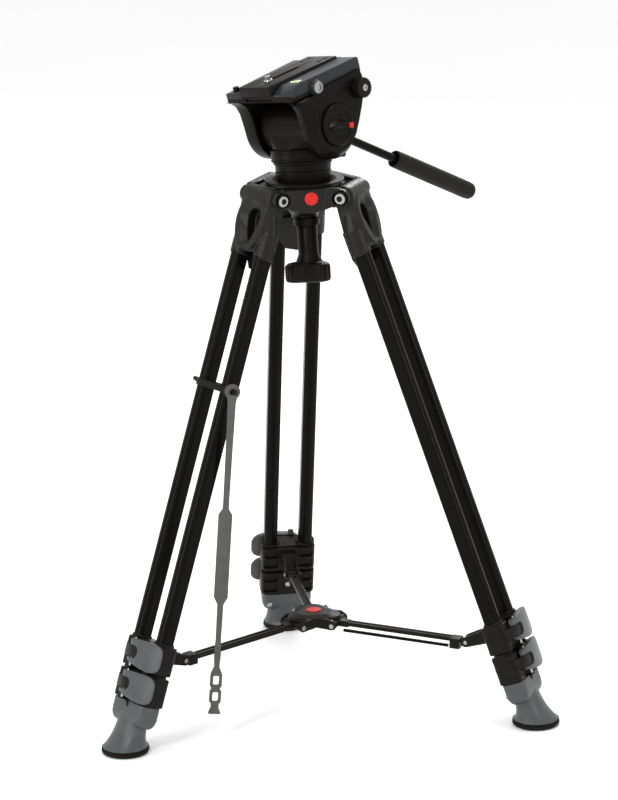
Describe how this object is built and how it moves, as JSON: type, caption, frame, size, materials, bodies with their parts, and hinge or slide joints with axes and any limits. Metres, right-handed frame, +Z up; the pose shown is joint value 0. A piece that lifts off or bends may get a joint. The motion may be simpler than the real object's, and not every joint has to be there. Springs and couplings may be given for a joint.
{
  "type": "video tripod with fluid head",
  "caption": "Folding two-stage twin-tube tripod with a mid-level spreader, a levelling bowl and a fluid pan and tilt head with a pan bar.",
  "frame": {"origin": "on the floor, under the axis of the crown and the spreader hub", "axes": "+Z up, front legs towards -Y, left and right, rear leg towards +Y"},
  "size_m": [0.4946, 0.4441, 0.7106],
  "materials": {
    "anodised_black": "black anodised tube, satin",
    "badge_red": "red enamel badge",
    "black_plastic": "black moulded nylon, matt",
    "casting_charcoal": "powder-coated casting, fine matt texture",
    "chrome": "polished steel",
    "grip_rubber": "ribbed black rubber grip",
    "head_black": "warm black powder coat on die-cast aluminium",
    "receiver_blue_grey": "blue-grey anodised aluminium",
    "slate_plastic": "slate grey glass-filled nylon, matt",
    "sole_rubber": "black rubber",
    "steel": "ground steel",
    "strap_rubber": "grey moulded rubber",
    "vial": "acrylic vial with spirit"
  },
  "bodies": {
    "crown": {"crown": "casting_charcoal", "bowl_ring": "casting_charcoal", "leg_pivot_bolts": "chrome"},
    "leg_a_upper": {"leg_a_yoke": "casting_charcoal", "leg_a_upper_tubes": "anodised_black", "leg_a_upper_clamp": "black_plastic", "strap_collar": "black_plastic"},
    "leg_a_upper_lever": {"leg_a_upper_lever": "slate_plastic"},
    "leg_a_middle": {"leg_a_middle_tubes": "anodised_black", "leg_a_lower_clamp": "black_plastic"},
    "leg_a_lower_lever": {"leg_a_lower_lever": "slate_plastic"},
    "leg_a_lower": {"leg_a_lower_tubes": "anodised_black", "leg_a_foot": "slate_plastic", "leg_a_foot_sole": "sole_rubber"},
    "leg_a_arm": {"leg_a_spreader_arm": "black_plastic"},
    "leg_b_upper": {"leg_b_yoke": "casting_charcoal", "leg_b_upper_tubes": "anodised_black", "leg_b_upper_clamp": "black_plastic"},
    "leg_b_upper_lever": {"leg_b_upper_lever": "slate_plastic"},
    "leg_b_middle": {"leg_b_middle_tubes": "anodised_black", "leg_b_lower_clamp": "black_plastic"},
    "leg_b_lower_lever": {"leg_b_lower_lever": "slate_plastic"},
    "leg_b_lower": {"leg_b_lower_tubes": "anodised_black", "leg_b_foot": "slate_plastic", "leg_b_foot_sole": "sole_rubber"},
    "leg_b_arm": {"leg_b_spreader_arm": "black_plastic"},
    "leg_c_upper": {"leg_c_yoke": "casting_charcoal", "leg_c_upper_tubes": "anodised_black", "leg_c_upper_clamp": "black_plastic"},
    "leg_c_upper_lever": {"leg_c_upper_lever": "slate_plastic"},
    "leg_c_middle": {"leg_c_middle_tubes": "anodised_black", "leg_c_lower_clamp": "black_plastic"},
    "leg_c_lower_lever": {"leg_c_lower_lever": "slate_plastic"},
    "leg_c_lower": {"leg_c_lower_tubes": "anodised_black", "leg_c_foot": "slate_plastic", "leg_c_foot_sole": "sole_rubber"},
    "leg_c_arm": {"leg_c_spreader_arm": "black_plastic"},
    "hub": {"spreader_hub": "casting_charcoal"},
    "washer": {"clamp_washer": "black_plastic"},
    "ball": {"levelling_ball": "head_black", "pan_base": "head_black"},
    "clamp_handle": {"clamp_handle": "black_plastic"},
    "pan": {"head_body": "head_black", "drag_cartridge": "steel", "counterbalance_spring": "steel"},
    "pan_lock": {"pan_lock_knob": "black_plastic"},
    "tilt": {"tilt_shaft": "steel", "tilt_housing": "head_black", "plate_receiver": "receiver_blue_grey", "bubble_level": "vial"},
    "plate": {"camera_plate": "head_black"},
    "screw": {"camera_screw": "chrome"},
    "tilt_lock": {"tilt_lock_knob": "black_plastic"},
    "plate_lock": {"plate_lock_knob": "black_plastic"},
    "safety_button": {"plate_safety_button": "badge_red"},
    "pan_bar": {"pan_bar_clamp": "head_black", "pan_bar": "anodised_black", "pan_bar_grip": "grip_rubber"},
    "pan_bar_lock": {"pan_bar_knob": "black_plastic"},
    "strap": {"carry_strap": "strap_rubber"}
  },
  "joints": [
    {"name": "leg_a_fold", "type": "hinge", "parent": "crown", "child": "leg_a_upper", "pos_m": [-0.04643, -0.0268, 0.57052], "axis": [0.5, -0.866, 0], "range_deg": [0, 17.4]},
    {"name": "leg_a_arm_hinge", "type": "hinge", "parent": "leg_a_upper", "child": "leg_a_arm", "pos_m": [-0.155, -0.08949, 0.086], "axis": [0.5, -0.866, 0], "range_deg": [-1, 71.46], "deforming": ["leg_a_spreader_arm"]},
    {"name": "leg_a_middle_slide", "type": "slide", "parent": "leg_a_upper", "child": "leg_a_middle", "axis": [-0.2941, -0.1698, -0.9406], "range_m": [0, 0.4]},
    {"name": "leg_a_lower_slide", "type": "slide", "parent": "leg_a_middle", "child": "leg_a_lower", "axis": [-0.2941, -0.1698, -0.9406], "range_m": [0, 0.4]},
    {"name": "leg_a_upper_lever_hinge", "type": "hinge", "parent": "leg_a_upper", "child": "leg_a_upper_lever", "pos_m": [-0.20794, -0.11313, 0.1065], "axis": [-0.2941, -0.1698, -0.9406], "range_deg": [0, 75]},
    {"name": "leg_a_lower_lever_hinge", "type": "hinge", "parent": "leg_a_middle", "child": "leg_a_lower_lever", "pos_m": [-0.21803, -0.11895, 0.07424], "axis": [-0.2941, -0.1698, -0.9406], "range_deg": [0, 75]},
    {"name": "leg_b_fold", "type": "hinge", "parent": "crown", "child": "leg_b_upper", "pos_m": [0.04643, -0.0268, 0.57052], "axis": [0.5, 0.866, 0], "range_deg": [0, 17.4]},
    {"name": "leg_b_arm_hinge", "type": "hinge", "parent": "leg_b_upper", "child": "leg_b_arm", "pos_m": [0.155, -0.08949, 0.086], "axis": [0.5, 0.866, 0], "range_deg": [-1, 71.46], "deforming": ["leg_b_spreader_arm"]},
    {"name": "leg_b_middle_slide", "type": "slide", "parent": "leg_b_upper", "child": "leg_b_middle", "axis": [0.2941, -0.1698, -0.9406], "range_m": [0, 0.4]},
    {"name": "leg_b_lower_slide", "type": "slide", "parent": "leg_b_middle", "child": "leg_b_lower", "axis": [0.2941, -0.1698, -0.9406], "range_m": [0, 0.4]},
    {"name": "leg_b_upper_lever_hinge", "type": "hinge", "parent": "leg_b_upper", "child": "leg_b_upper_lever", "pos_m": [0.20194, -0.12352, 0.1065], "axis": [0.2941, -0.1698, -0.9406], "range_deg": [0, 75]},
    {"name": "leg_b_lower_lever_hinge", "type": "hinge", "parent": "leg_b_middle", "child": "leg_b_lower_lever", "pos_m": [0.21203, -0.12934, 0.07424], "axis": [0.2941, -0.1698, -0.9406], "range_deg": [0, 75]},
    {"name": "leg_c_fold", "type": "hinge", "parent": "crown", "child": "leg_c_upper", "pos_m": [0, 0.05361, 0.57052], "axis": [-1, 0, 0], "range_deg": [0, 17.4]},
    {"name": "leg_c_arm_hinge", "type": "hinge", "parent": "leg_c_upper", "child": "leg_c_arm", "pos_m": [0, 0.17898, 0.086], "axis": [-1, 0, 0], "range_deg": [-1, 71.46], "deforming": ["leg_c_spreader_arm"]},
    {"name": "leg_c_middle_slide", "type": "slide", "parent": "leg_c_upper", "child": "leg_c_middle", "axis": [0, 0.3396, -0.9406], "range_m": [0, 0.4]},
    {"name": "leg_c_lower_slide", "type": "slide", "parent": "leg_c_middle", "child": "leg_c_lower", "axis": [0, 0.3396, -0.9406], "range_m": [0, 0.4]},
    {"name": "leg_c_upper_lever_hinge", "type": "hinge", "parent": "leg_c_upper", "child": "leg_c_upper_lever", "pos_m": [0.006, 0.23664, 0.1065], "axis": [0, 0.3396, -0.9406], "range_deg": [0, 75]},
    {"name": "leg_c_lower_lever_hinge", "type": "hinge", "parent": "leg_c_middle", "child": "leg_c_lower_lever", "pos_m": [0.006, 0.24829, 0.07424], "axis": [0, 0.3396, -0.9406], "range_deg": [0, 75]},
    {"name": "hub_slide", "type": "slide", "parent": "crown", "child": "hub", "axis": [0, 0, 1], "range_m": [-0.001, 0.13145]},
    {"name": "ball_lean_back", "type": "hinge", "parent": "crown", "child": "washer", "pos_m": [0, 0, 0.575], "axis": [-0.9848, -0.1736, 0], "range_deg": [-18, 2]},
    {"name": "ball_lean_side", "type": "hinge", "parent": "washer", "child": "ball", "pos_m": [0, 0, 0.575], "axis": [0.172, -0.9752, 0.1392], "range_deg": [-8, 8]},
    {"name": "clamp_handle_turn", "type": "hinge", "parent": "ball", "child": "clamp_handle", "pos_m": [0.00145, -0.00822, 0.51558], "axis": [-0.0242, 0.1371, 0.9903], "continuous": true},
    {"name": "pan", "type": "hinge", "parent": "ball", "child": "pan", "pos_m": [-0.00072, 0.00411, 0.60471], "axis": [-0.0242, 0.1371, 0.9903], "continuous": true},
    {"name": "pan_lock_turn", "type": "hinge", "parent": "pan", "child": "pan_lock", "pos_m": [0.03894, 0.00913, 0.60801], "axis": [0.9933, 0.1151, 0.0083], "range_deg": [0, 270]},
    {"name": "tilt", "type": "hinge", "parent": "pan", "child": "tilt", "pos_m": [0.00146, 0.00975, 0.63831], "axis": [0.5944, -0.7945, 0.1245], "range_deg": [-35, 56]},
    {"name": "plate_slide", "type": "slide", "parent": "tilt", "child": "plate", "axis": [-0.7745, -0.6072, -0.1775], "range_m": [-0.03, 0.03]},
    {"name": "camera_screw_turn", "type": "hinge", "parent": "plate", "child": "screw", "pos_m": [-0.03709, -0.01083, 0.69103], "axis": [-0.2166, -0.0091, 0.9762], "continuous": true},
    {"name": "tilt_lock_turn", "type": "hinge", "parent": "tilt", "child": "tilt_lock", "pos_m": [0.03237, -0.03156, 0.64479], "axis": [0.5944, -0.7945, 0.1245], "range_deg": [-90, 0]},
    {"name": "plate_lock_turn", "type": "hinge", "parent": "tilt", "child": "plate_lock", "pos_m": [0.06083, -0.00869, 0.67897], "axis": [0.5944, -0.7945, 0.1245], "range_deg": [-180, 0]},
    {"name": "safety_button_press", "type": "slide", "parent": "tilt", "child": "safety_button", "axis": [0.2166, 0.0091, -0.9762], "range_m": [0, 0.002], "stiffness_N_per_m": 250, "springref_m": -0.001},
    {"name": "pan_bar_angle", "type": "hinge", "parent": "tilt", "child": "pan_bar", "pos_m": [-0.01032, 0.07821, 0.64146], "axis": [0.5944, -0.7945, 0.1245], "range_deg": [-5, 110]},
    {"name": "pan_bar_lock_turn", "type": "hinge", "parent": "pan_bar", "child": "pan_bar_lock", "pos_m": [-0.01864, 0.08933, 0.63972], "axis": [0.5944, -0.7945, 0.1245], "continuous": true},
    {"name": "strap_hang", "type": "hinge", "parent": "leg_a_upper", "child": "strap", "pos_m": [-0.09338, -0.09664, 0.37911], "axis": [0.5, -0.866, 0], "range_deg": [-13.1, 0.1]}
  ],
  "couplings": [
    {"joint": "leg_a_arm_hinge", "follows": "leg_a_fold", "ratio": 4.0492},
    {"joint": "leg_b_fold", "follows": "leg_a_fold", "ratio": 1},
    {"joint": "leg_b_arm_hinge", "follows": "leg_a_fold", "ratio": 4.0492},
    {"joint": "leg_c_fold", "follows": "leg_a_fold", "ratio": 1},
    {"joint": "leg_c_arm_hinge", "follows": "leg_a_fold", "ratio": 4.0492},
    {"joint": "hub_slide", "follows": "leg_a_fold", "m_per_rad": 0.42956},
    {"joint": "strap_hang", "follows": "leg_a_fold", "ratio": -0.74425}
  ]
}
